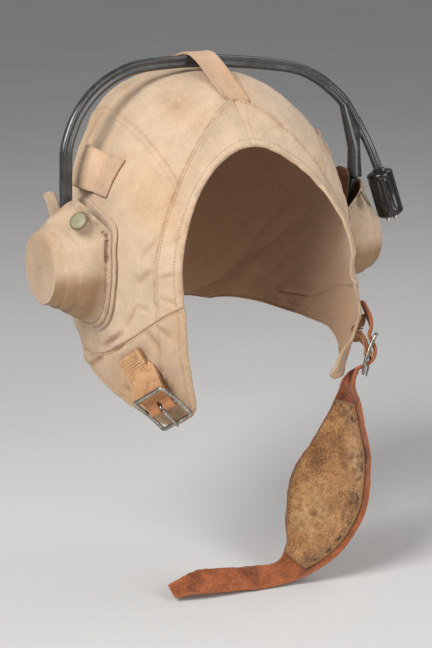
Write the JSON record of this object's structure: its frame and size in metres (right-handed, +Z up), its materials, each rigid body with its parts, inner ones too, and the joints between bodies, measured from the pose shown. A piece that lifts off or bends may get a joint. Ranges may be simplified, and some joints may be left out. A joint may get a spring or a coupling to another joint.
{
  "type": "cloth flying helmet with earphone cups",
  "caption": "Soft cloth flying helmet with moulded earphone cups, a headset lead and plug over the crown, and a buckled chin strap with a lined chin cup.",
  "frame": {"origin": "the middle of the inside of the crown, where the hood sits on top of the head", "axes": "+Z up, -Y is the front where the face is, -X is the wearer's right side"},
  "size_m": [0.2564, 0.1821, 0.3367],
  "materials": {
    "hood_twill": "tan cotton twill, faded, lightly soiled",
    "keeper_cloth": "tan webbing with turned edges",
    "cup_cloth": "tan twill moulded over stiff felt, rubbed",
    "snap_enamel": "worn grey-green enamel",
    "lead_rubber": "black rubber, semi-gloss",
    "plug_resin": "black moulded resin, polished by use",
    "contact_steel": "bright plated pins",
    "tab_leather": "pale tan chamois leather",
    "brown_leather": "dark brown leather, worn",
    "strap_suede": "russet suede with a paler cut edge",
    "chamois": "napped chamois, stained",
    "nickel": "nickel-plated wire, bright"
  },
  "bodies": {
    "helmet": {"brow_band_left": "hood_twill", "brow_band_right": "hood_twill", "buckle_frame_left": "nickel", "buckle_frame_right": "nickel", "buckle_prong_left": "nickel", "chin_cup_lining": "chamois", "chin_flap_left": "hood_twill", "chin_flap_right": "hood_twill", "chin_strap": "strap_suede", "chin_tab_left": "tab_leather", "chin_tab_right": "tab_leather", "crown_keeper": "keeper_cloth", "crown_left": "hood_twill", "crown_right": "hood_twill", "ear_backing_left": "cup_cloth", "ear_backing_right": "cup_cloth", "ear_cup_left": "cup_cloth", "ear_cup_right": "cup_cloth", "headset_lead": "lead_rubber", "nape_panel": "hood_twill", "plug_body": "plug_resin", "plug_contact_1": "contact_steel", "plug_contact_2": "contact_steel", "pocket_tongue": "brown_leather", "side_keeper_left": "keeper_cloth", "side_keeper_right": "keeper_cloth", "side_panel_left": "hood_twill", "side_panel_right": "hood_twill", "snap_left": "snap_enamel", "snap_right": "snap_enamel"},
    "prong_right": {"buckle_prong_right": "nickel"}
  },
  "joints": [
    {"name": "prong_right_hinge", "type": "hinge", "parent": "helmet", "child": "prong_right", "pos_m": [-0.0669, -0.0763, -0.1908], "axis": [-0.3787, 0.7497, -0.5427], "range_deg": [0, 130]}
  ]
}
